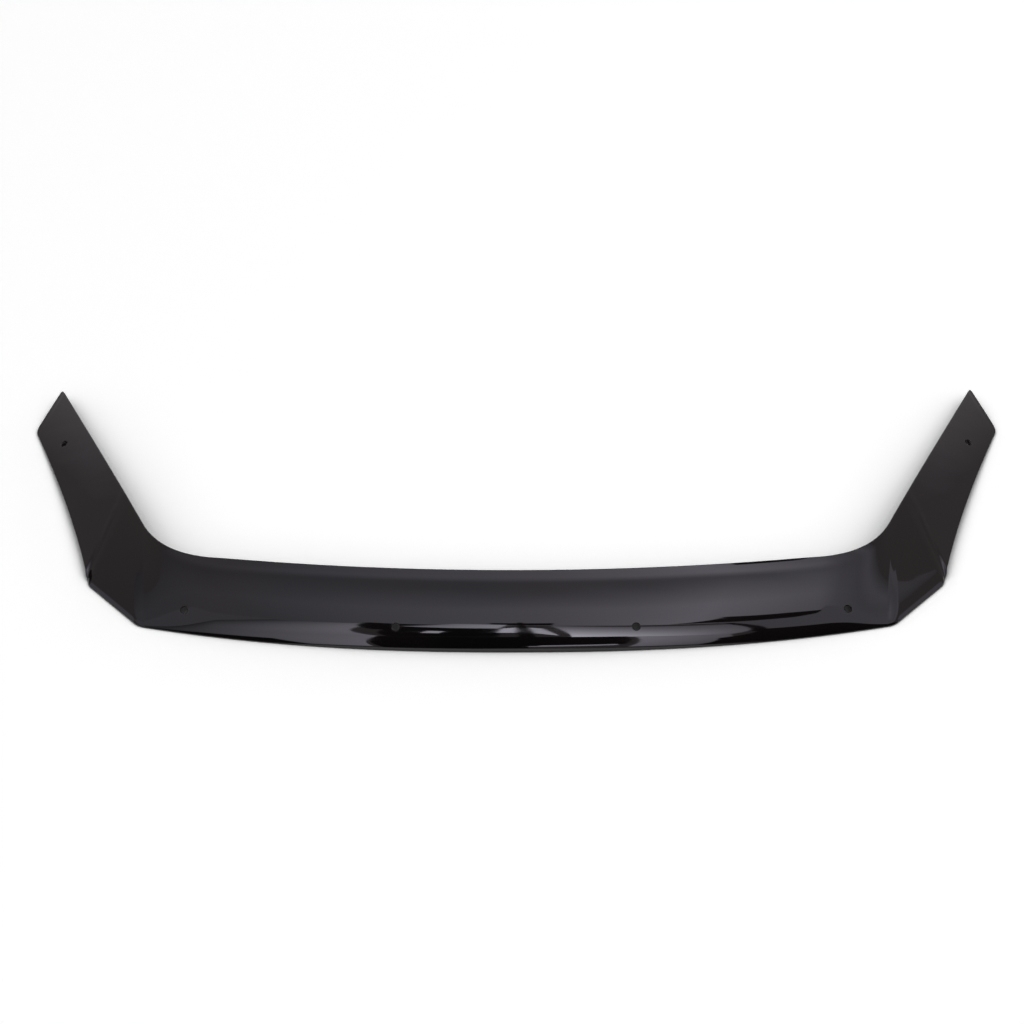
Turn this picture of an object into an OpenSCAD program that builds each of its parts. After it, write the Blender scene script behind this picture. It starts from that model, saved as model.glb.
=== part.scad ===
// Hood bug deflector: one sheet of dark smoked acrylic, formed, trimmed and drilled.
// Millimetres. X runs across the vehicle, the lip faces -Y, Z is up, the shield lies as on a table.
// The outer face is one surface between two rails: the inner rail is the trailing edge and the
// inner edges of the wings, the outer rail is the lip, the cut corners and the outer edges.

/* [Overall] */
// Width across the outer corners of the wings
overall_w = 1400; // [1300:10:1500]
// Depth from the front of the lip to the tips of the wings
overall_d = 526; // [480:2:580]
// Height of the outer face at the trailing edge, at mid-width, without the flare
edge_h = 51; // [42:1:62]
// Thickness of the sheet
sheet_t = 3; // [2:0.5:4]

/* [Front band] */
// Distance between the bottom corners, where the lip ends
lip_w = 1006; // [940:2:1060]
// How far the middle of the lip stands in front of its ends
lip_bow = 48.5; // [30:0.5:65]
// Depth of the band at mid-width, seen from above
band_d = 101.5; // [90:0.5:125]
// How far the trailing edge sweeps back from mid-width to its inner corners
edge_bow = 42; // [25:1:55]
// Slope of the outer face behind the roll, in degrees
band_slope = 12; // [6:1:18]
// Slope of the lip at mid-width, in degrees
roll_slope = 74; // [60:1:82]
// Slope of the lip at the bottom corners, in degrees
roll_slope_end = 60; // [45:1:75]
// Reach of the roll up from the lip at mid-width
roll_run = 35; // [24:1:42]
// Reach of the roll up from the lip at the bottom corners
roll_run_end = 8; // [5:1:16]
// Rise of the flare along the trailing edge
flare_h = 3; // [1:0.5:5]
// Width of the flare
flare_w = 17; // [12:1:26]

/* [Corners] */
// Distance between the lower outer corners
corner_w = 1158; // [1100:2:1220]
// Depth from the front of the lip to the lower outer corners
corner_d = 126; // [105:1:145]
// Rounding of the bottom corners
corner_round = 9; // [4:1:16]
// Rounding of the lower outer corners
side_round = 5; // [3:1:10]
// Width of the turned lip at the lower outer corners
turn_w = 13; // [6:1:18]
// Slope of the turned lip, in degrees
turn_slope = 52; // [35:1:65]

/* [Wings] */
// Distance between the inner corners, where the trailing edge would meet the wings unrounded
inner_w = 960; // [910:2:1000]
// Rounding of the inner corners, measured along each side
inner_round = 70; // [40:1:95]
// Distance between the tips of the wings
tip_w = 1340; // [1280:2:1400]
// Depth from the front of the lip to the outer corners of the wings
side_d = 450; // [410:2:480]
// Height of the outer face at the tips of the wings
tip_h = 20; // [14:1:30]
// How far the outer edge of a wing curves in
side_bow = 12; // [0:1:24]
// How far the outer edge of a wing arches off the table
side_arch = 3; // [0:1:8]
// Crown across a wing, in degrees at each edge
wing_crown = 2; // [0:0.5:4]
// Rounding of the outer corners of the wings
tip_round = 9; // [4:1:16]
// Rounding of the tips of the wings
point_round = 7; // [4:1:12]

/* [Holes] */
// Diameter of the six holes
hole_d = 11; // [6:0.5:14]
// Distance between the two middle holes
mid_hole_gap = 314; // [240:2:420]
// Distance of the middle holes back from the lip
mid_hole_back = 20; // [14:1:30]
// Distance between the two end holes
end_hole_gap = 870; // [780:2:920]
// Distance of the end holes back from the lip
end_hole_back = 27; // [20:1:40]
// Distance of the wing holes from the ends of the wings
wing_hole_in = 80; // [45:1:120]
// Distance of the wing holes in from the outer edges, along the line of the wing's end
wing_hole_back = 47; // [30:1:60]

/* [Hidden] */

SMOKED_BLACK = [0.06, 0.055, 0.06];
EDGE_BREAK = 0.6;         // arris taken off along the trimmed edge
BOW_POWER = 2.3;          // the lip is flatter in the middle than a circle
BAND_HANDLE = [0.48, 0.7]; // share of the band that runs straight, at mid-width and at its ends
SIDE_BEND_AT = 0.4;       // where along a wing its outer edge curves most
FLARE_ENDS = [0.72, 1];   // stretch of the band over which the flare dies away
TURN_FADE = 0.07;         // share of a wing's outer edge over which the turned lip dies away
TURN_LEAN = 0.18;         // slope of the panel that the lip is turned down from, as a fraction
CROWN_GROW = 0.6;         // share of a wing's outer edge over which the crown sets in
AIM = 0.75;               // how far a section behind a turned lip runs straight towards its top
TIP_SOFTEN = 0.3;         // how gently a wing starts to fall
FAN = [[1, 0], [2, 0.03], [3, 0.15], [4, 0.19]]; // share of a wing's inner edge passed at each stage
BORE_FN = 48;
ROWS = 18;
BAND_COLS = 26;
ROUND_COLS = 3;
CUT_COLS = 5;
SIDE_COLS = 13;

bottom_corner = [lip_w / 2, lip_bow];
side_corner = [corner_w / 2, corner_d];
wing_corner = [overall_w / 2, side_d];
wing_tip = [tip_w / 2, overall_d];
inner_corner = [inner_w / 2, band_d + edge_bow];

// Helpers for points and blends
function mix(a, b, t) = a + (b - a) * t;
function ease(t) = t * t * (3 - 2 * t);
function clamp01(t) = max(0, min(1, t));
function toward(a, b, run) = a + (b - a) / norm(b - a) * run;
function bend(a, corner, b, t) = mix(mix(a, corner, t), mix(corner, b, t), t);
function soft_ramp(t, e) = (sqrt(t * t + e * e) - e) / (sqrt(1 + e * e) - e);

// Stations run from 0 at mid-width to 6 at the end of a wing. They pass 1 where the lip ends,
// 2 after the bottom corner, 3 before and 4 after the lower outer corner, and 5 before the end.

// Outer rail, seen from above
function lip_y(x) = lip_bow * pow(x / (lip_w / 2), BOW_POWER);
lip_end_x = lip_w / 2 - corner_round;
lip_end = [lip_end_x, lip_y(lip_end_x)];
side_len = norm(wing_corner - side_corner);
side_in = [-(wing_corner - side_corner).y, (wing_corner - side_corner).x] / side_len;
side_mid = mix(side_corner, wing_corner, SIDE_BEND_AT) + side_in * side_bow;
function side_xy(t) = bend(side_corner, side_mid, wing_corner, t);
side_t0 = side_round / (2 * norm(side_mid - side_corner));
side_t1 = 1 - tip_round / (2 * norm(wing_corner - side_mid));
function outer_xy(u) =
    u < 1 ? [u * lip_end_x, lip_y(u * lip_end_x)] :
    u < 2 ? bend(lip_end, bottom_corner, toward(bottom_corner, side_corner, corner_round), u - 1) :
    u < 3 ? mix(toward(bottom_corner, side_corner, corner_round),
                toward(side_corner, bottom_corner, side_round), u - 2) :
    u < 4 ? bend(toward(side_corner, bottom_corner, side_round), side_corner, side_xy(side_t0), u - 3) :
    u < 5 ? side_xy(mix(side_t0, side_t1, u - 4)) :
    bend(side_xy(side_t1), wing_corner, toward(wing_corner, wing_tip, tip_round), u - 5);

// Inner rail, seen from above
function edge_y(x) = band_d + edge_bow * pow(x / inner_corner.x, 2);
fillet_x = inner_corner.x - inner_round;
fillet_start = [fillet_x, edge_y(fillet_x)];
fillet_end = toward(inner_corner, wing_tip, inner_round);
fillet_u = fillet_x / fillet_end.x;
inner_len = norm(wing_tip - fillet_end);
fan_all = concat(FAN, [[5, 1 - point_round / inner_len]]);
function wing_share(u) = lookup(u, fan_all);
function inner_xy(u) =
    u < fillet_u ? [u * fillet_end.x, edge_y(u * fillet_end.x)] :
    u < 1 ? bend(fillet_start, inner_corner, fillet_end, (u - fillet_u) / (1 - fillet_u)) :
    u < 5 ? mix(fillet_end, wing_tip, wing_share(u)) :
    bend(toward(wing_tip, fillet_end, point_round), wing_tip,
         toward(wing_tip, wing_corner, point_round), u - 5);

// Slope of the lip along the outer rail, and the heights of both rails
function lip_slope(u) =
    u < 1 ? mix(roll_slope, roll_slope_end, u * u) : mix(roll_slope_end, turn_slope, clamp01((u - 1) / 2));
function lip_run(u) =
    u < 1 ? mix(roll_run, roll_run_end, u * u) : mix(roll_run_end, turn_w, clamp01((u - 1) / 2));
end_len = norm(wing_tip - wing_corner);
corner_z = sheet_t;
turn_z = sheet_t * cos(turn_slope);
turn_rise = turn_w * (sin(turn_slope) - TURN_LEAN * cos(turn_slope));
function turn_left(u) = 1 - ease(clamp01((u - 4) / TURN_FADE));
function outer_z(u) =
    u < 1 ? sheet_t * cos(lip_slope(u)) :
    u < 4 ? mix(sheet_t * cos(roll_slope_end), turn_z, (u - 1) / 3) :
    u < 5 ? mix(turn_z + turn_rise, corner_z, u - 4) + side_arch * sin(180 * (u - 4))
            - turn_rise * turn_left(u) :
    mix(corner_z, tip_h, pow(u - 5, 2) * tip_round / end_len);
fold_h = edge_h - (edge_h - tip_h) * 0.2;
function inner_z(u) =
    u < 1 ? mix(edge_h, fold_h, pow(u, 2)) :
    u < 5 ? mix(fold_h, tip_h, soft_ramp(wing_share(u), TIP_SOFTEN)) :
    mix(tip_h, corner_z, pow(u - 5, 2) * point_round / end_len);

// Section at a station: a curve in the upright plane from the inner rail to the outer rail.
// It leaves the inner rail on a slope, and comes down on the lip's slope, as [distance, height].
function section_handles(u, reach, zi, zo) =
    let (
        chord = atan2(zi - zo, reach),
        third = reach / 3,
        run = reach * mix(BAND_HANDLE[0], BAND_HANDLE[1], pow(clamp01(u), 2)),
        rolled_1 = [run * cos(band_slope), zi - run * sin(band_slope)],
        rolled_2 = [reach - lip_run(u) * cos(lip_slope(u)), zo + lip_run(u) * sin(lip_slope(u))],
        aimed_1 = mix([0, zi], rolled_2, AIM),
        crown = wing_crown * ease(clamp01((u - 4) / CROWN_GROW)),
        plain_1 = [third, zi - third * tan(chord - crown)],
        plain_2 = [reach - third, zo + third * tan(chord + crown)]
    )
    [
        u < 4 ? mix(rolled_1, aimed_1, ease(clamp01(u - 1))) : mix(plain_1, aimed_1, turn_left(u)),
        mix(plain_2, rolled_2, turn_left(u))
    ];
function cubic(a, b, c, d, t) = bend(mix(a, b, t), mix(b, c, t), mix(c, d, t), t);
function flare(u, d) =
    flare_h * pow(1 - clamp01(d / flare_w), 2)
    * (1 - ease(clamp01((u - FLARE_ENDS[0]) / (FLARE_ENDS[1] - FLARE_ENDS[0]))));
function face_point(u, v) =
    let (
        i = inner_xy(u),
        o = outer_xy(u),
        reach = norm(o - i),
        zi = inner_z(u),
        zo = outer_z(u),
        h = section_handles(u, reach, zi, zo),
        s = cubic([0, zi], h[0], h[1], [reach, zo], v),
        xy = toward(i, o, s[0])
    )
    [xy.x, xy.y, s[1] + flare(u, s[0])];

// Grid of points on the outer face, from the end of the left wing to the end of the right wing
stations = concat(
    [for (k = [0 : BAND_COLS - 1]) k / BAND_COLS],
    [for (k = [0 : ROUND_COLS - 1]) 1 + k / ROUND_COLS],
    [for (k = [0 : CUT_COLS - 1]) 2 + k / CUT_COLS],
    [for (k = [0 : ROUND_COLS - 1]) 3 + k / ROUND_COLS],
    [for (k = [0 : SIDE_COLS - 1]) 4 + pow(k / SIDE_COLS, 1.5)],
    [for (k = [0 : ROUND_COLS]) 5 + k / ROUND_COLS]
);
half = len(stations) - 1;
half_grid = [for (u = stations) [for (j = [0 : ROWS]) face_point(u, j / ROWS)]];
function mirrored(p) = [-p.x, p.y, p.z];
face_grid = concat(
    [for (k = [half : -1 : 1]) [for (p = half_grid[k]) mirrored(p)]],
    half_grid
);
cols = len(face_grid) - 1;

// Direction straight out of the face at a grid point, and along it away from the trimmed edge
function unit(a) = a / norm(a);
function along(i, j) = face_grid[min(cols, i + 1)][j] - face_grid[max(0, i - 1)][j];
function across(i, j) = face_grid[i][min(ROWS, j + 1)] - face_grid[i][max(0, j - 1)];
function out_dir(i, j) = unit(cross(across(i, j), along(i, j)));
function inward(i, j) =
    let (
        from_end = i == 0 ? unit(along(i, j)) : i == cols ? -unit(along(i, j)) : [0, 0, 0],
        from_rail = j == 0 ? unit(across(i, j)) : j == ROWS ? -unit(across(i, j)) : [0, 0, 0]
    )
    from_end + from_rail;
function sheet_point(i, j, depth, inset) =
    face_grid[i][j] - out_dir(i, j) * depth + inward(i, j) * inset;

// The sheet as a closed skin: outer face, inner face, and three strips round the trimmed edge
rim = concat(
    [for (i = [0 : cols - 1]) [i, 0]],
    [for (j = [0 : ROWS - 1]) [cols, j]],
    [for (i = [cols : -1 : 1]) [i, ROWS]],
    [for (j = [ROWS : -1 : 1]) [0, j]]
);
rim_n = len(rim);
layer_n = (cols + 1) * (ROWS + 1);
raw_points = concat(
    [for (i = [0 : cols]) for (j = [0 : ROWS]) sheet_point(i, j, 0, EDGE_BREAK)],
    [for (i = [0 : cols]) for (j = [0 : ROWS]) sheet_point(i, j, sheet_t, EDGE_BREAK)],
    [for (r = rim) sheet_point(r[0], r[1], EDGE_BREAK, 0)],
    [for (r = rim) sheet_point(r[0], r[1], sheet_t - EDGE_BREAK, 0)]
);
low_z = min([for (p = raw_points) p.z]);
mid_y = (min([for (p = raw_points) p.y]) + max([for (p = raw_points) p.y])) / 2;
origin = [0, mid_y, low_z];
skin_points = [for (p = raw_points) p - origin];

function at(layer, i, j) = layer * layer_n + i * (ROWS + 1) + j;
function rim_at(ring, k) = 2 * layer_n + ring * rim_n + k % rim_n;
function rim_grid(layer, k) = at(layer, rim[k % rim_n][0], rim[k % rim_n][1]);
function quad(a, b, c, d, turn) = turn ? [[a, b, d], [b, c, d]] : [[a, b, c], [a, c, d]];
function face_quads(layer) = [
    for (i = [0 : cols - 1]) for (j = [0 : ROWS - 1])
        let (q = [at(layer, i, j), at(layer, i + 1, j), at(layer, i + 1, j + 1), at(layer, i, j + 1)])
        for (t = layer == 0 ? quad(q[0], q[1], q[2], q[3], i < half) : quad(q[3], q[2], q[1], q[0], i < half)) t
];
function strip(lower, upper) = [
    for (k = [0 : rim_n - 1])
        for (t = quad(lower[k], lower[(k + 1) % rim_n], upper[(k + 1) % rim_n], upper[k], false)) t
];
top_loop = [for (k = [0 : rim_n - 1]) rim_grid(0, k)];
upper_loop = [for (k = [0 : rim_n - 1]) rim_at(0, k)];
lower_loop = [for (k = [0 : rim_n - 1]) rim_at(1, k)];
under_loop = [for (k = [0 : rim_n - 1]) rim_grid(1, k)];
skin_faces = concat(
    face_quads(0),
    face_quads(1),
    strip(upper_loop, top_loop),
    strip(lower_loop, upper_loop),
    strip(under_loop, lower_loop)
);

// Share of a section that ends at a given distance from its outer rail
function distance_back(u, v) =
    let (p = face_point(u, v), o = outer_xy(u)) norm([p.x, p.y] - o);
function share_at(u, back, low = 0, high = 1, steps = 16) =
    steps == 0 ? (low + high) / 2 :
    let (middle = (low + high) / 2)
    distance_back(u, middle) > back
        ? share_at(u, back, middle, high, steps - 1)
        : share_at(u, back, low, middle, steps - 1);

// A hole is drilled square to the face: [station, distance back from the outer rail]
HOLES = [
    [mid_hole_gap / 2 / lip_end_x, mid_hole_back],
    [end_hole_gap / 2 / lip_end_x, end_hole_back],
    [4 + (side_len - wing_hole_in) / side_len, wing_hole_back]
];
STEP = 0.01;
function hole_centre(h) = face_point(h[0], share_at(h[0], h[1])) - origin;
function hole_out(h) =
    let (v = share_at(h[0], h[1]))
    unit(cross(
        face_point(h[0], v + STEP) - face_point(h[0], v - STEP),
        face_point(h[0] + STEP, v) - face_point(h[0] - STEP, v)
    ));

module bore(h, side) {
    centre = hole_centre(h);
    out = hole_out(h);
    translate([side * centre.x, centre.y, centre.z])
        rotate([0, acos(out.z), atan2(out.y, side * out.x)])
            cylinder(h = 6 * sheet_t, d = hole_d, center = true, $fn = BORE_FN);
}

module shield() {
    color(SMOKED_BLACK)
        difference() {
            polyhedron(points = skin_points, faces = skin_faces, convexity = 6);
            for (h = HOLES) {
                for (side = [-1, 1]) {
                    bore(h, side);
                }
            }
        }
}

shield();
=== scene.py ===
"""Looks of the hood bug deflector: one formed sheet of dark smoked acrylic on a pale floor.

Metres, in the frame of the CAD part: X runs across the vehicle, the lip faces -Y, Z is up.
The outer face is the surface of the CAD part, sampled finely: stations u run from 0 at mid-width
to 6 at the end of a wing, and v from 0 on the inner rail to 1 on the outer rail.
"""

import math

import bpy
import numpy as np
from mathutils import Matrix, Vector


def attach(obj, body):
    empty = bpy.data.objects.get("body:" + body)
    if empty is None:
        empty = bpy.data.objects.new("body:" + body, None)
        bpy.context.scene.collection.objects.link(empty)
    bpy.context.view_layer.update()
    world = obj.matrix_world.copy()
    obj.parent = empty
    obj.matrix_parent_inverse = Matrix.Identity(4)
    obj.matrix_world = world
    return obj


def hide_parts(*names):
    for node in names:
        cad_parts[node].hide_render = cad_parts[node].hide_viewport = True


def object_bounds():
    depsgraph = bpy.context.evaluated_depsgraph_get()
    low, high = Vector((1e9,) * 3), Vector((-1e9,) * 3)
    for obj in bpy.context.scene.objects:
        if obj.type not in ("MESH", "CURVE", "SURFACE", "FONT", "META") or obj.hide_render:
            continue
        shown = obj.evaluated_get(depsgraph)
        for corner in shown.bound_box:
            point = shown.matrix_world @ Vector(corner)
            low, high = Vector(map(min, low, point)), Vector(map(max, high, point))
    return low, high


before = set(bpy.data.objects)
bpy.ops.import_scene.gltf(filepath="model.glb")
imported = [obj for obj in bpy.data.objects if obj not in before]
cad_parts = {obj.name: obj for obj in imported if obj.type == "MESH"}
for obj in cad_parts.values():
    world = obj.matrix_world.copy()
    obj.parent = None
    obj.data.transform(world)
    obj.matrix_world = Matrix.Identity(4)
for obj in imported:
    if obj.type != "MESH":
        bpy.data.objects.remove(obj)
cad_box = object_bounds()

MM = 0.001

# Driving sizes of the shield
OVERALL_W, OVERALL_D = 1400 * MM, 526 * MM
EDGE_H, SHEET_T = 51 * MM, 3 * MM
LIP_W, LIP_BOW = 1006 * MM, 48.5 * MM
BAND_D, EDGE_BOW = 101.5 * MM, 42 * MM
BAND_SLOPE = math.radians(12)
ROLL_SLOPE, ROLL_SLOPE_END = math.radians(74), math.radians(60)
ROLL_RUN, ROLL_RUN_END = 35 * MM, 8 * MM
FLARE_H, FLARE_W = 3 * MM, 17 * MM
CORNER_W, CORNER_D = 1158 * MM, 126 * MM
CORNER_ROUND, SIDE_ROUND = 9 * MM, 5 * MM
TURN_W, TURN_SLOPE = 13 * MM, math.radians(52)
INNER_W, INNER_ROUND = 960 * MM, 70 * MM
TIP_W, SIDE_D, TIP_H = 1340 * MM, 450 * MM, 20 * MM
SIDE_BOW, SIDE_ARCH = 12 * MM, 3 * MM
WING_CROWN = math.radians(2)
TIP_ROUND, POINT_ROUND = 9 * MM, 7 * MM
HOLE_D = 11 * MM
MID_HOLE_GAP, MID_HOLE_BACK = 314 * MM, 20 * MM
END_HOLE_GAP, END_HOLE_BACK = 870 * MM, 27 * MM
WING_HOLE_IN, WING_HOLE_BACK = 80 * MM, 47 * MM

# Shape of the surface
BOW_POWER = 2.3
BAND_HANDLE = (0.48, 0.7)
SIDE_BEND_AT = 0.4
FLARE_ENDS = (0.72, 1)
TURN_FADE, TURN_LEAN, AIM = 0.07, 0.18, 0.75
TIP_SOFTEN = 0.3
CROWN_GROW = 0.6
FAN = ((1, 0), (2, 0.03), (3, 0.15), (4, 0.19))

# Fineness of the mesh, and the rounding of its trimmed edges
BAND_COLS, ROUND_COLS, CUT_COLS, SIDE_COLS, ROWS = 236, 9, 44, 128, 44
RIM_ROUND, HOLE_ROUND, ARC_STEPS = 0.9 * MM, 0.35 * MM, 4
RIM_REACH = 8 * MM
PATCH_RINGS, PATCH_GROW = 6, 1.7


# the surface

def mix(a, b, t):
    return a + (b - a) * t


def ease(t):
    return t * t * (3 - 2 * t)


def clamp01(t):
    return max(0.0, min(1.0, t))


def unit(a):
    return a / np.linalg.norm(a, axis=-1, keepdims=True)


def toward(a, b, run):
    return a + unit(b - a) * run


def bend(a, corner, b, t):
    return mix(mix(a, corner, t), mix(corner, b, t), t)


def soft_ramp(t, e):
    return (math.hypot(t, e) - e) / (math.hypot(1, e) - e)


BOTTOM_CORNER = np.array([LIP_W / 2, LIP_BOW])
SIDE_CORNER = np.array([CORNER_W / 2, CORNER_D])
WING_CORNER = np.array([OVERALL_W / 2, SIDE_D])
WING_TIP = np.array([TIP_W / 2, OVERALL_D])
INNER_CORNER = np.array([INNER_W / 2, BAND_D + EDGE_BOW])


def lip_y(x):
    return LIP_BOW * (x / (LIP_W / 2)) ** BOW_POWER


LIP_END_X = LIP_W / 2 - CORNER_ROUND
LIP_END = np.array([LIP_END_X, lip_y(LIP_END_X)])
SIDE_LEN = np.linalg.norm(WING_CORNER - SIDE_CORNER)
SIDE_RUN_X, SIDE_RUN_Y = (WING_CORNER - SIDE_CORNER) / SIDE_LEN
SIDE_MID = mix(SIDE_CORNER, WING_CORNER, SIDE_BEND_AT) + np.array([-SIDE_RUN_Y, SIDE_RUN_X]) * SIDE_BOW


def side_xy(t):
    return bend(SIDE_CORNER, SIDE_MID, WING_CORNER, t)


SIDE_T0 = SIDE_ROUND / (2 * np.linalg.norm(SIDE_MID - SIDE_CORNER))
SIDE_T1 = 1 - TIP_ROUND / (2 * np.linalg.norm(WING_CORNER - SIDE_MID))


def outer_xy(u):
    """Outer rail from above: lip, cut corner and outer edge of the wing."""
    if u < 1:
        return np.array([u * LIP_END_X, lip_y(u * LIP_END_X)])
    cut_start = toward(BOTTOM_CORNER, SIDE_CORNER, CORNER_ROUND)
    cut_end = toward(SIDE_CORNER, BOTTOM_CORNER, SIDE_ROUND)
    if u < 2:
        return bend(LIP_END, BOTTOM_CORNER, cut_start, u - 1)
    if u < 3:
        return mix(cut_start, cut_end, u - 2)
    if u < 4:
        return bend(cut_end, SIDE_CORNER, side_xy(SIDE_T0), u - 3)
    if u < 5:
        return side_xy(mix(SIDE_T0, SIDE_T1, u - 4))
    return bend(side_xy(SIDE_T1), WING_CORNER, toward(WING_CORNER, WING_TIP, TIP_ROUND), u - 5)


def edge_y(x):
    return BAND_D + EDGE_BOW * (x / INNER_CORNER[0]) ** 2


FILLET_X = INNER_CORNER[0] - INNER_ROUND
FILLET_START = np.array([FILLET_X, edge_y(FILLET_X)])
FILLET_END = toward(INNER_CORNER, WING_TIP, INNER_ROUND)
FILLET_U = FILLET_X / FILLET_END[0]
INNER_LEN = np.linalg.norm(WING_TIP - FILLET_END)
FAN_STATIONS, FAN_SHARES = zip(*FAN, (5, 1 - POINT_ROUND / INNER_LEN))


def wing_share(u):
    return float(np.interp(u, FAN_STATIONS, FAN_SHARES))


def inner_xy(u):
    """Inner rail from above: trailing edge, fillet and inner edge of the wing."""
    if u < FILLET_U:
        return np.array([u * FILLET_END[0], edge_y(u * FILLET_END[0])])
    if u < 1:
        return bend(FILLET_START, INNER_CORNER, FILLET_END, (u - FILLET_U) / (1 - FILLET_U))
    if u < 5:
        return mix(FILLET_END, WING_TIP, wing_share(u))
    return bend(toward(WING_TIP, FILLET_END, POINT_ROUND), WING_TIP,
                toward(WING_TIP, WING_CORNER, POINT_ROUND), u - 5)


def lip_slope(u):
    if u < 1:
        return mix(ROLL_SLOPE, ROLL_SLOPE_END, u * u)
    return mix(ROLL_SLOPE_END, TURN_SLOPE, clamp01((u - 1) / 2))


def lip_run(u):
    if u < 1:
        return mix(ROLL_RUN, ROLL_RUN_END, u * u)
    return mix(ROLL_RUN_END, TURN_W, clamp01((u - 1) / 2))


END_LEN = np.linalg.norm(WING_TIP - WING_CORNER)
TURN_Z = SHEET_T * math.cos(TURN_SLOPE)
TURN_RISE = TURN_W * (math.sin(TURN_SLOPE) - TURN_LEAN * math.cos(TURN_SLOPE))
FOLD_H = EDGE_H - (EDGE_H - TIP_H) * 0.2


def turn_left(u):
    """How much of the turned lip is left along the wing's outer edge."""
    return 1 - ease(clamp01((u - 4) / TURN_FADE))


def outer_z(u):
    if u < 1:
        return SHEET_T * math.cos(lip_slope(u))
    if u < 4:
        return mix(SHEET_T * math.cos(ROLL_SLOPE_END), TURN_Z, (u - 1) / 3)
    if u < 5:
        return (mix(TURN_Z + TURN_RISE, SHEET_T, u - 4) + SIDE_ARCH * math.sin(math.pi * (u - 4))
                - TURN_RISE * turn_left(u))
    return mix(SHEET_T, TIP_H, (u - 5) ** 2 * TIP_ROUND / END_LEN)


def inner_z(u):
    if u < 1:
        return mix(EDGE_H, FOLD_H, u * u)
    if u < 5:
        return mix(FOLD_H, TIP_H, soft_ramp(wing_share(u), TIP_SOFTEN))
    return mix(TIP_H, SHEET_T, (u - 5) ** 2 * POINT_ROUND / END_LEN)


def section_handles(u, reach, zi, zo):
    """Middle points of the section's curve, as (distance from the inner rail, height)."""
    chord = math.atan2(zi - zo, reach)
    third = reach / 3
    run = reach * mix(*BAND_HANDLE, clamp01(u) ** 2)
    rolled_1 = np.array([run * math.cos(BAND_SLOPE), zi - run * math.sin(BAND_SLOPE)])
    rolled_2 = np.array([reach - lip_run(u) * math.cos(lip_slope(u)),
                         zo + lip_run(u) * math.sin(lip_slope(u))])
    aimed_1 = mix(np.array([0, zi]), rolled_2, AIM)
    crown = WING_CROWN * ease(clamp01((u - 4) / CROWN_GROW))
    plain_1 = np.array([third, zi - third * math.tan(chord - crown)])
    plain_2 = np.array([reach - third, zo + third * math.tan(chord + crown)])
    left = turn_left(u)
    if u < 4:
        return mix(rolled_1, aimed_1, ease(clamp01(u - 1))), rolled_2
    return mix(plain_1, aimed_1, left), mix(plain_2, rolled_2, left)


def face_points(u, shares):
    """Points of the outer face on the section at station u, one for each share v."""
    v = np.atleast_1d(shares)[:, None]
    i, o = inner_xy(u), outer_xy(u)
    reach = np.linalg.norm(o - i)
    zi, zo = inner_z(u), outer_z(u)
    h1, h2 = section_handles(u, reach, zi, zo)
    curve = bend(mix(np.array([0, zi]), h1, v), mix(h1, h2, v), mix(h2, np.array([reach, zo]), v), v)
    run, height = curve[:, 0], curve[:, 1]
    fade = 1 - ease(clamp01((u - FLARE_ENDS[0]) / (FLARE_ENDS[1] - FLARE_ENDS[0])))
    flare = FLARE_H * (1 - np.clip(run / FLARE_W, 0, 1)) ** 2 * fade
    return np.column_stack([i + unit(o - i) * run[:, None], height + flare])


def face_point(u, v):
    return face_points(u, v)[0]


def face_normal(u, v, step=0.002):
    across = face_point(u, v + step) - face_point(u, v - step)
    along = face_point(u + step, v) - face_point(u - step, v)
    return unit(np.cross(across, along))


# the mesh of one half

STATIONS = np.concatenate([
    np.arange(BAND_COLS) / BAND_COLS,
    1 + np.arange(ROUND_COLS) / ROUND_COLS,
    2 + np.arange(CUT_COLS) / CUT_COLS,
    3 + np.arange(ROUND_COLS) / ROUND_COLS,
    4 + (np.arange(SIDE_COLS) / SIDE_COLS) ** 1.25,
    5 + np.arange(ROUND_COLS + 1) / ROUND_COLS,
])
SHARES = np.arange(ROWS + 1) / ROWS
COLS = len(STATIONS) - 1

grid = np.array([face_points(u, SHARES) for u in STATIONS])
mirror_col = grid[1:2] * np.array([-1, 1, 1])
along = np.gradient(np.concatenate([mirror_col, grid]), axis=0)[1:]
across = np.gradient(grid, axis=1)
normals = unit(np.cross(across, along))


class Half:
    """Vertices, normals and faces of the right half. Faces carry the number of their material."""

    def __init__(self):
        self.points, self.normals, self.faces, self.kinds = [], [], [], []

    def add(self, points, normals):
        """Adds vertices and returns their numbers, in the shape of the array."""
        shape = points.shape[:-1]
        first = sum(len(p) for p in self.points)
        self.points.append(points.reshape(-1, 3))
        self.normals.append(np.broadcast_to(normals, points.shape).reshape(-1, 3))
        return np.arange(first, first + int(np.prod(shape))).reshape(shape)

    def quads(self, a, b, c, d, kind, flip=False):
        order = (d, c, b, a) if flip else (a, b, c, d)
        faces = np.stack([x.ravel() for x in order], axis=1)
        self.faces.append(faces)
        self.kinds.append(np.full(len(faces), kind))

    def ring_strip(self, rings, kind, closed, flip=False):
        """Quads between successive rings of vertex numbers."""
        for low, high in zip(rings[:-1], rings[1:]):
            if closed:
                low, high = np.append(low, low[0]), np.append(high, high[0])
            self.quads(low[:-1], low[1:], high[1:], high[:-1], kind, flip)


FACE, EDGE, BORE = 0, 1, 2
half = Half()

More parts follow.
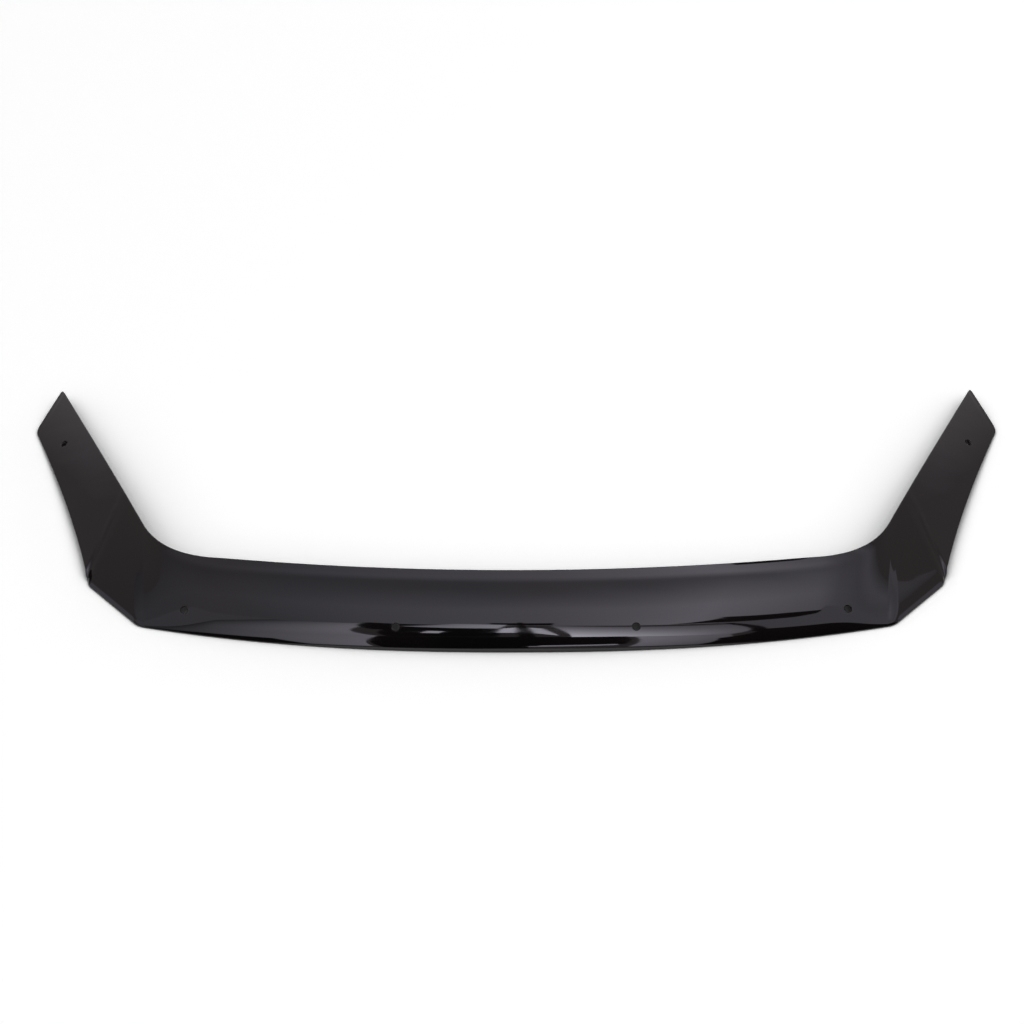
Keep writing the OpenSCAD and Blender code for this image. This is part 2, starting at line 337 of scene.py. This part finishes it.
# Border of the half, without the line of mid-width: inner rail, end of the wing, outer rail
border = ([(i, 0) for i in range(COLS + 1)] + [(COLS, j) for j in range(1, ROWS + 1)]
          + [(i, ROWS) for i in range(COLS - 1, -1, -1)])
border_i, border_j = np.array(border).T
loop = grid[border_i, border_j]
loop_n = normals[border_i, border_j]
ends = loop[[1, -2]] * np.array([-1, 1, 1])
loop_dir = unit(np.concatenate([loop[1:], ends[1:]]) - np.concatenate([ends[:1], loop[:-1]]))
outward = unit(np.cross(loop_n, loop_dir))
if np.dot(outward[0], np.array([0, 1, 0])) < 0:
    outward = -outward


def rail_shift(points, shift):
    """Moves a row of points by shift at its first point, dying away over RIM_REACH."""
    away = np.linalg.norm(points - points[0], axis=1)
    return np.clip(1 - away / RIM_REACH, 0, 1)[:, None] * shift


# The face grid ends where the rounded rim starts, so its border is drawn in by the rounding
n_in = COLS + 1
inner_out = outward[:n_in]
end_out = outward[n_in - 1:n_in + ROWS]
outer_out = outward[n_in + ROWS - 1:][::-1]
shift = np.zeros_like(grid)
weight = np.zeros(grid.shape[:2])
for i in range(COLS + 1):
    for rows, out in ((slice(None), inner_out[i]), (slice(None, None, -1), outer_out[i])):
        part = rail_shift(grid[i, rows], -out * RIM_ROUND)
        shift[i, rows] += part
        weight[i, rows] += np.linalg.norm(part, axis=1) / RIM_ROUND
for j in range(ROWS + 1):
    part = rail_shift(grid[::-1, j], -end_out[j] * RIM_ROUND)
    shift[::-1, j] += part
    weight[::-1, j] += np.linalg.norm(part, axis=1) / RIM_ROUND
shift /= np.maximum(weight, 1)[..., None]
shift[border_i, border_j] = -outward * RIM_ROUND
drawn = grid + shift


# holes

def share_at(u, back):
    """Share of the section at station u that ends at that distance from the outer rail."""
    low, high = 0.0, 1.0
    for _ in range(24):
        middle = (low + high) / 2
        if np.linalg.norm(face_point(u, middle)[:2] - outer_xy(u)) > back:
            low = middle
        else:
            high = middle
    return (low + high) / 2


HOLES = (
    (MID_HOLE_GAP / 2 / LIP_END_X, MID_HOLE_BACK),
    (END_HOLE_GAP / 2 / LIP_END_X, END_HOLE_BACK),
    (4 + (SIDE_LEN - WING_HOLE_IN) / SIDE_LEN, WING_HOLE_BACK),
)
cut = np.zeros((COLS, ROWS), bool)


def sheet_point(u, v, depth):
    return face_point(u, v) - face_normal(u, v) * depth


def on_circle(centre, axis, e1, e2, angle, radius, depth, guess):
    """(u, v) where the sheet at that depth meets the bore's circle at that angle."""
    u, v = guess
    goal = np.array([math.cos(angle), math.sin(angle)]) * radius
    flat = np.array([e1, e2])
    step = 1e-4
    for _ in range(6):
        here = flat @ (sheet_point(u, v, depth) - centre)
        du = (flat @ (sheet_point(u + step, v, depth) - centre) - here) / step
        dv = (flat @ (sheet_point(u, v + step, depth) - centre) - here) / step
        u, v = np.array([u, v]) + np.linalg.solve(np.column_stack([du, dv]), goal - here)
    return u, v


def drill(u0, back):
    """Cuts a block of cells out round a bore, and fills it with rings and the bore's wall."""
    v0 = share_at(u0, back)
    centre, axis = face_point(u0, v0), face_normal(u0, v0)
    e1 = unit(np.cross([0, 1, 0], axis))
    e2 = np.cross(axis, e1)
    size = HOLE_D / 2 * PATCH_GROW
    near = np.abs((grid - centre) @ np.column_stack([e1, e2])).max(axis=-1) < size
    close = np.linalg.norm(grid - centre, axis=-1) < 4 * size
    i_in, j_in = np.nonzero(near & close)
    i0, i1, j0, j1 = i_in.min() - 1, i_in.max() + 1, j_in.min() - 1, j_in.max() + 1
    cut[i0:i1, j0:j1] = True
    ring = ([(i, j0) for i in range(i0, i1)] + [(i1, j) for j in range(j0, j1)]
            + [(i, j1) for i in range(i1, i0, -1)] + [(i0, j) for j in range(j1, j0, -1)])
    ri, rj = np.array(ring).T
    outer_uv = np.column_stack([STATIONS[ri], SHARES[rj]])
    turn = np.arctan2((grid[ri, rj] - centre) @ e2, (grid[ri, rj] - centre) @ e1)
    r = HOLE_D / 2
    radial = np.cos(turn)[:, None] * e1 + np.sin(turn)[:, None] * e2
    arc = np.linspace(0, math.pi / 2, ARC_STEPS)
    edges = []
    for depth, kind_flip in ((0, False), (SHEET_T, True)):
        sign = 1 if depth == 0 else -1
        inner_uv = np.array([
            on_circle(centre, axis, e1, e2, a, r + HOLE_ROUND, depth, (u0, v0)) for a in turn])
        rings = [numbers[depth == 0][ri, rj]]
        for k in range(1, PATCH_RINGS + 1):
            t = 1 - (k / PATCH_RINGS) ** 0.8
            uv = inner_uv + (outer_uv - inner_uv) * t
            n = np.array([face_normal(*p) for p in uv])
            rings.append(half.add(np.array([face_point(*p) for p in uv]) - n * depth, n * sign))
        half.ring_strip(rings, FACE, True, flip=depth == 0)
        base = np.array([sheet_point(u, v, depth) for u, v in inner_uv])
        wall = [rings[-1]]
        for a in arc[1:]:
            moved = base - radial * (HOLE_ROUND * math.sin(a)) - sign * axis * (HOLE_ROUND * (1 - math.cos(a)))
            wall.append(half.add(moved, sign * axis * math.cos(a) - radial * math.sin(a)))
        half.ring_strip(wall, EDGE, True, flip=depth == 0)
        edges.append(wall[-1])
    half.ring_strip([edges[0], edges[1]], BORE, True, flip=True)


numbers = {True: half.add(drawn, normals), False: half.add(drawn - normals * SHEET_T, -normals)}
for u0, back in HOLES:
    drill(u0, back)
keep_i, keep_j = np.nonzero(~cut)
for outer_face in (True, False):
    n = numbers[outer_face]
    half.quads(n[keep_i, keep_j], n[keep_i + 1, keep_j], n[keep_i + 1, keep_j + 1],
               n[keep_i, keep_j + 1], FACE, flip=outer_face)

# The trimmed edge: a rounded arris, the wall, and a rounded arris below
rim_rings = [numbers[True][border_i, border_j]]
arc = np.linspace(0, math.pi / 2, ARC_STEPS + 1)[1:]
base = loop - outward * RIM_ROUND
for angle in arc:
    rim_rings.append(half.add(
        base + outward * RIM_ROUND * math.sin(angle) - loop_n * RIM_ROUND * (1 - math.cos(angle)),
        loop_n * math.cos(angle) + outward * math.sin(angle)))
for angle in arc[::-1]:
    rim_rings.append(half.add(
        base + outward * RIM_ROUND * math.sin(angle)
        - loop_n * (SHEET_T - RIM_ROUND * (1 - math.cos(angle))),
        -loop_n * math.cos(angle) + outward * math.sin(angle)))
rim_rings.append(numbers[False][border_i, border_j])
half.ring_strip(rim_rings, EDGE, False)


# the whole shield

points = np.concatenate(half.points)
point_n = np.concatenate(half.normals)
faces = np.concatenate(half.faces)
kinds = np.concatenate(half.kinds)
on_middle = np.abs(points[:, 0]) < 1e-7
twin = np.where(on_middle, np.arange(len(points)), len(points) + np.cumsum(~on_middle) - 1)
all_points = np.concatenate([points, points[~on_middle] * np.array([-1, 1, 1])])
all_n = np.concatenate([point_n, point_n[~on_middle] * np.array([-1, 1, 1])])
all_n[: len(points)][on_middle, 0] = 0
all_faces = np.concatenate([faces, twin[faces][:, ::-1]])
low, high = all_points.min(axis=0), all_points.max(axis=0)
all_points -= [0, (low[1] + high[1]) / 2 - (cad_box[0].y + cad_box[1].y) / 2, low[2] - cad_box[0].z]

mesh = bpy.data.meshes.new("shield skin")
mesh.from_pydata(all_points.tolist(), [], all_faces.tolist())
mesh.polygons.foreach_set("use_smooth", [True] * len(mesh.polygons))
mesh.polygons.foreach_set("material_index", np.concatenate([kinds, kinds]))
mesh.update()
mesh.normals_split_custom_set_from_vertices(unit(all_n).tolist())
shield = bpy.data.objects.new("smoked_shield", mesh)
bpy.context.scene.collection.objects.link(shield)


# materials

def new_material(name):
    material = bpy.data.materials.new(name)
    material.use_nodes = True
    material.node_tree.nodes.clear()
    return material, material.node_tree.nodes, material.node_tree.links


def noise(nodes, links, coords, scale, detail, stretch=(1, 1, 1)):
    """Noise over the object's own coordinates, in cells a metre."""
    mapping = nodes.new("ShaderNodeMapping")
    mapping.inputs["Scale"].default_value = stretch
    links.new(coords.outputs["Object"], mapping.inputs["Vector"])
    texture = nodes.new("ShaderNodeTexNoise")
    texture.inputs["Scale"].default_value = scale
    texture.inputs["Detail"].default_value = detail
    links.new(mapping.outputs["Vector"], texture.inputs["Vector"])
    return texture.outputs["Fac"]


def map_range(nodes, links, value, low, high, out_low, out_high):
    node = nodes.new("ShaderNodeMapRange")
    for name, number in (("From Min", low), ("From Max", high), ("To Min", out_low), ("To Max", out_high)):
        node.inputs[name].default_value = number
    links.new(value, node.inputs["Value"])
    return node.outputs["Result"]


def ramp(nodes, links, value, stops):
    node = nodes.new("ShaderNodeValToRGB")
    node.color_ramp.elements[0].position, node.color_ramp.elements[0].color = stops[0]
    node.color_ramp.elements[1].position, node.color_ramp.elements[1].color = stops[-1]
    for position, color in stops[1:-1]:
        node.color_ramp.elements.new(position).color = color
    links.new(value, node.inputs["Fac"])
    return node.outputs["Color"]


def acrylic(name, dark, warm, rough_low, rough_high, wave):
    """Smoked acrylic: near black, glossy, a little wavy from forming and lightly wiped."""
    material, nodes, links = new_material(name)
    coords = nodes.new("ShaderNodeTexCoord")
    shader = nodes.new("ShaderNodeBsdfPrincipled")
    shader.inputs["IOR"].default_value = 1.49
    cloud = noise(nodes, links, coords, 5, 2)
    links.new(ramp(nodes, links, cloud, [(0.35, dark), (0.65, warm)]), shader.inputs["Base Color"])
    wipes = noise(nodes, links, coords, 40, 4, (0.3, 3, 3))
    links.new(map_range(nodes, links, wipes, 0.35, 0.7, rough_low, rough_high), shader.inputs["Roughness"])
    draw = noise(nodes, links, coords, 14, 1, (0.45, 1.6, 1.6))
    bump = nodes.new("ShaderNodeBump")
    bump.inputs["Strength"].default_value = 1.0
    bump.inputs["Distance"].default_value = wave
    links.new(draw, bump.inputs["Height"])
    links.new(bump.outputs["Normal"], shader.inputs["Normal"])
    output = nodes.new("ShaderNodeOutputMaterial")
    links.new(shader.outputs["BSDF"], output.inputs["Surface"])
    return material


mesh.materials.append(acrylic("smoked acrylic", (0.0022, 0.002, 0.0023, 1), (0.0045, 0.0033, 0.0032, 1),
                              0.02, 0.05, 0.25 * MM))
mesh.materials.append(acrylic("smoked acrylic edge", (0.006, 0.005, 0.005, 1), (0.01, 0.008, 0.0075, 1),
                              0.12, 0.25, 0.05 * MM))
mesh.materials.append(acrylic("drilled acrylic", (0.03, 0.027, 0.028, 1), (0.04, 0.035, 0.034, 1),
                              0.45, 0.55, 0.05 * MM))
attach(shield, "root")
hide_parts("shield")


# studio

FLOOR_SIZE = 12
FLOOR_PALE = 0.8
FLOOR_SEEN = 1.45
# Painted shade on the floor: ambient occlusion darkens the floor colour that the camera and reflections see, round
# the shield and under it
SHADE_REACH, SHADE_FROM, SHADE_LEAST = 0.14, 0.5, 0.42
UNDER_SHADE_REACH, UNDER_SHADE_RANGE, UNDER_SHADE_LEAST = 0.03, (0.1, 0.45), 0.12
SHADE_RAYS, UNDER_SHADE_RAYS = 6, 2
ROOM_LIGHT, ROOM_SEEN, ROOM_TINT = 1.1, 0.4, (1, 0.9, 0.93, 1)
HORIZON = (0.5, 0.75)
LAMP_TINT, WALL_TINT = (1, 0.96, 1.1, 1), (1, 0.93, 0.98, 1)
STUDIO_R = 5.0
DARK = 0.02
STUDIO_C = np.array([0, -0.24, 0.03])
# Level of the ceiling along x, how much of it is lost by depth y, and the share of that loss along x
CEILING_LEVEL = ((-4.2, -1.7, -0.9, 0.1, 0.7, 1.15, 1.75, 2.4, 3.3, 3.9, 4.8),
                 (0.55, 0.65, 1.05, 1.35, 1.8, 2.3, 1.65, 1.1, 0.85, 1.05, 0.6))
CEILING_LOSS = ((-1.5, 0.8, 1.45, 2, 2.2, 2.45), (0, 0, 0.25, 0.53, 0.54, 0.72))
CEILING_LOSS_SHARE = ((-4.2, 0, 1.3, 2.1, 3.4, 4.8), (0.6, 1, 1.2, 0.75, 0.15, 0.5))


def either(nodes, links, *values):
    """The largest of some values from 0 to 1."""
    value = values[0]
    for other in values[1:]:
        node = nodes.new("ShaderNodeMath")
        node.operation = "MAXIMUM"
        links.new(value, node.inputs[0])
        links.new(other, node.inputs[1])
        value = node.outputs[0]
    return value


def reflected_tint(nodes, links, tint):
    """A tint for the reflections, and white for the light that falls on the floor."""
    path = nodes.new("ShaderNodeLightPath")
    blend = nodes.new("ShaderNodeMix")
    blend.data_type = "RGBA"
    blend.inputs["A"].default_value = (1, 1, 1, 1)
    blend.inputs["B"].default_value = tint
    links.new(path.outputs["Is Glossy Ray"], blend.inputs["Factor"])
    return blend.outputs["Result"]


def floor():
    material, nodes, links = new_material("pale floor")
    path = nodes.new("ShaderNodeLightPath")
    seen = either(nodes, links, *(path.outputs[f"Is {ray} Ray"] for ray in ("Camera", "Glossy", "Transmission")))
    blend = nodes.new("ShaderNodeMixShader")
    links.new(seen, blend.inputs["Fac"])
    painted_shades = []
    # Painted shadow: two ambient occlusion lookups darken the seen floor colour near the shield and beneath the sheet
    for reach, rays in ((SHADE_REACH, SHADE_RAYS), (UNDER_SHADE_REACH, UNDER_SHADE_RAYS)):
        near = nodes.new("ShaderNodeAmbientOcclusion")
        near.samples = rays
        near.inputs["Distance"].default_value = reach
        painted_shades.append(near.outputs["AO"])
    pale = nodes.new("ShaderNodeMath")
    pale.operation = "MULTIPLY"
    links.new(map_range(nodes, links, painted_shades[0], SHADE_FROM, 1, FLOOR_SEEN * SHADE_LEAST, FLOOR_SEEN), pale.inputs[0])
    links.new(map_range(nodes, links, painted_shades[1], *UNDER_SHADE_RANGE, UNDER_SHADE_LEAST, 1), pale.inputs[1])
    for socket in (1, 2):
        shader = nodes.new("ShaderNodeBsdfDiffuse")
        shader.inputs["Color"].default_value = (FLOOR_PALE, FLOOR_PALE, FLOOR_PALE, 1)
        links.new(shader.outputs["BSDF"], blend.inputs[socket])
    links.new(pale.outputs[0], shader.inputs["Color"])
    output = nodes.new("ShaderNodeOutputMaterial")
    links.new(blend.outputs["Shader"], output.inputs["Surface"])
    s = FLOOR_SIZE / 2
    plane = bpy.data.meshes.new("floor")
    plane.from_pydata([(-s, -s, 0), (s, -s, 0), (s, s, 0), (-s, s, 0)], [], [(0, 1, 2, 3)])
    plane.materials.append(material)
    obj = bpy.data.objects.new("floor", plane)
    bpy.context.scene.collection.objects.link(obj)


def room():
    """Even room light from above the horizon, and white for what the camera sees."""
    world = bpy.data.worlds.new("room")
    bpy.context.scene.world = world
    world.use_nodes = True
    nodes, links = world.node_tree.nodes, world.node_tree.links
    nodes.clear()
    coords = nodes.new("ShaderNodeTexCoord")
    split = nodes.new("ShaderNodeSeparateXYZ")
    links.new(coords.outputs["Generated"], split.inputs["Vector"])
    path = nodes.new("ShaderNodeLightPath")
    level = nodes.new("ShaderNodeMix")
    level.inputs["B"].default_value = ROOM_SEEN
    links.new(path.outputs["Is Glossy Ray"], level.inputs["Factor"])
    links.new(map_range(nodes, links, split.outputs["Z"], *HORIZON, 0.02, ROOM_LIGHT), level.inputs["A"])
    light = nodes.new("ShaderNodeBackground")
    links.new(reflected_tint(nodes, links, ROOM_TINT), light.inputs["Color"])
    links.new(level.outputs["Result"], light.inputs["Strength"])
    white = nodes.new("ShaderNodeBackground")
    white.inputs["Color"].default_value = (1, 1, 1, 1)
    blend = nodes.new("ShaderNodeMixShader")
    links.new(either(nodes, links, path.outputs["Is Camera Ray"], path.outputs["Is Transmission Ray"]),
              blend.inputs["Fac"])
    links.new(light.outputs["Background"], blend.inputs[1])
    links.new(white.outputs["Background"], blend.inputs[2])
    output = nodes.new("ShaderNodeOutputWorld")
    links.new(blend.outputs["Shader"], output.inputs["Surface"])


def card(name, where, level, tint=LAMP_TINT, lights_room=False):
    """A card that glows by level, given at each point of its grid. The camera doesn't see it."""
    rows, cols = level.shape
    n = np.arange(rows * cols).reshape(rows, cols)
    quads = np.stack([n[:-1, :-1], n[1:, :-1], n[1:, 1:], n[:-1, 1:]], -1).reshape(-1, 4)
    data = bpy.data.meshes.new(name)
    data.from_pydata(where.reshape(-1, 3).tolist(), [], quads.tolist())
    data.attributes.new("level", "FLOAT", "POINT").data.foreach_set("value", level.ravel().astype(np.float32))
    material, nodes, links = new_material(name)
    light = nodes.new("ShaderNodeEmission")
    links.new(reflected_tint(nodes, links, tint), light.inputs["Color"])
    attribute = nodes.new("ShaderNodeAttribute")
    attribute.attribute_name = "level"
    links.new(attribute.outputs["Fac"], light.inputs["Strength"])
    output = nodes.new("ShaderNodeOutputMaterial")
    links.new(light.outputs["Emission"], output.inputs["Surface"])
    data.materials.append(material)
    obj = bpy.data.objects.new(name, data)
    bpy.context.scene.collection.objects.link(obj)
    obj.visible_camera = False
    obj.visible_diffuse = lights_room
    obj.visible_shadow = False


def panel(name, corners, levels, radius=STUDIO_R, tint=LAMP_TINT, steps=10):
    """A card on a sphere round the shield, between four (azimuth, elevation) corners in turn.

    Azimuth 0 is in front of the lip and grows towards +X. levels is one level, or one at each corner.
    """
    s, t = np.meshgrid(np.linspace(0, 1, steps + 1), np.linspace(0, 1, steps + 1), indexing="ij")
    corners = np.radians(np.array(corners, float))
    levels = np.broadcast_to(np.array(levels, float), 4)
    shares = ((1 - s) * (1 - t), s * (1 - t), s * t, (1 - s) * t)
    az, el = (sum(share * corner[k] for share, corner in zip(shares, corners)) for k in (0, 1))
    out = np.stack([np.sin(az) * np.cos(el), -np.cos(az) * np.cos(el), np.sin(el)], -1)
    card(name, STUDIO_C + radius * out, sum(share * level for share, level in zip(shares, levels)), tint)


def ceiling():
    """Long soft box above and a little behind the shield, brightest right of the middle."""
    x, y = np.meshgrid(np.linspace(CEILING_LEVEL[0][0], CEILING_LEVEL[0][-1], 95),
                       np.linspace(CEILING_LOSS[0][0], CEILING_LOSS[0][-1], 40), indexing="ij")
    level = np.interp(x, *CEILING_LEVEL) * (1 - np.interp(y, *CEILING_LOSS) * np.interp(x, *CEILING_LOSS_SHARE))
    card("ceiling soft box", STUDIO_C + np.stack([x, y, np.full_like(x, STUDIO_R)], -1), level, lights_room=True)


floor()
room()
ceiling()
for side, name in ((-1, "left"), (1, "right")):
    panel(f"{name} side wall", [(side * 84, 4), (side * 98, 4), (side * 98, 31), (side * 84, 31)], 0.8)
    panel(f"{name} rear corner", [(side * 130.5, 6), (side * 142, 6), (side * 142, 38), (side * 130.5, 38)],
          (0.4, 0.95, 0.95, 0.4), tint=WALL_TINT)
    panel(f"{name} rear wall", [(side * 142, 6), (side * 180, 6), (side * 180, 38), (side * 142, 38)],
          (0.95, 1.3, 1.3, 0.95), tint=WALL_TINT)
panel("left soft box", [(-12, 5), (-26, 5), (-46, 42), (-16, 44)], (2.5, 0.2, 0.2, 2.5))
panel("left soft box top", [(-16, 44), (-46, 42), (-58, 68), (-38, 74)], (2.5, 0.2, 0.3, 2.8))
panel("dark left foot", [(-17, 0.5), (-40, 0.5), (-40, 24), (-23.5, 22)], DARK, radius=4.7)
panel("left wall", [(-26, 22), (-86, 30), (-86, 62), (-56, 70)], 0.72, radius=5.1)
panel("left stand", [(-100, 0), (-128, 0), (-112, 30), (-106, 30)], DARK, radius=4.7)
panel("right soft box", [(5.5, 43), (24, 40), (42, 64), (8, 73)], (9, 1.7, 1.4, 1.3))
panel("right soft box foot", [(9, 5), (15.5, 5), (24, 40), (13, 41)], (2.3, 1.2, 1.7, 3.4))
panel("front edge", [(-28, 70.5), (-3.5, 67), (-3, 75), (-20, 77)], (2.2, 4.5, 4.5, 2.5), radius=4.6)
panel("dark front", [(-12, 10), (9, 14), (12.5, 43), (-16, 44)], DARK, radius=4.7)
panel("dark front foot", [(-11, 0.3), (0.8, 0.3), (0.8, 13), (-12, 10)], DARK, radius=4.7)
panel("dark wedge", [(-15, 44), (-2, 44), (-2, 70), (-24, 64)], DARK, radius=4.7)
panel("dark tongue", [(-25, 62), (-12, 62), (-16, 75), (-47, 74.5)], DARK, radius=4.7)
panel("dark bar", [(-6, 74), (9, 74), (13, 78.5), (-10, 78.5)], DARK, radius=4.7)
panel("dark right", [(15.5, 1), (75, 1), (70, 30), (20, 28)], DARK, radius=4.7)
panel("dark right top", [(20, 28), (70, 30), (62, 52.5), (33, 50.5)], DARK, radius=4.7)
panel("right wall", [(32, 48), (86, 44), (86, 66), (44, 68)], 0.95, radius=5.1)
panel("dark stay", [(29, 46), (31.5, 46), (46, 66), (43, 66)], DARK, radius=4.7)
panel("dark beam", [(37, 70), (61, 65), (78, 65.5), (69, 73.5)], DARK, radius=4.7)
panel("left lamp", [(-2.6, 56), (-0.3, 56), (-0.3, 69), (-3, 67)], 7, radius=4.6)
panel("right lamp", [(2, 55), (4.6, 48), (4.6, 67), (2.2, 69)], 6, radius=4.6)
panel("small lamp", [(-13.5, 55), (-10.5, 54.5), (-11, 60), (-14.5, 61)], 5, radius=4.6)
panel("table end", [(0.8, 7.5), (8.5, 12.5), (8.5, 16.5), (0.8, 12)], 3.6, radius=4.6)
panel("post", [(0, 10), (1.6, 10), (1.8, 80), (0, 80)], DARK, radius=4.5)


# camera

PICTURE_PX = 1024
FOCAL_PX = 2309.5
SENSOR = 36
LOOK_AT = Vector((-0.0056, 0.0146, 0))
DISTANCE = 3.238
ELEVATION, YAW, ROLL = math.radians(42), math.radians(-0.255), math.radians(-0.25)


def add_camera():
    data = bpy.data.cameras.new("camera")
    data.sensor_fit = "HORIZONTAL"
    data.sensor_width = SENSOR
    data.lens = SENSOR * FOCAL_PX / PICTURE_PX
    forward = Vector((math.sin(YAW) * math.cos(ELEVATION), math.cos(YAW) * math.cos(ELEVATION),
                      -math.sin(ELEVATION)))
    right = Vector((math.cos(YAW), -math.sin(YAW), 0))
    up = right.cross(forward)
    right, up = (right * math.cos(ROLL) + up * math.sin(ROLL), up * math.cos(ROLL) - right * math.sin(ROLL))
    camera = bpy.data.objects.new("camera", data)
    camera.matrix_world = (Matrix.Translation(LOOK_AT - forward * DISTANCE)
                           @ Matrix((right, up, -forward)).transposed().to_4x4())
    bpy.context.scene.collection.objects.link(camera)
    bpy.context.scene.camera = camera


add_camera()
bpy.context.scene.view_settings.view_transform = "Standard"
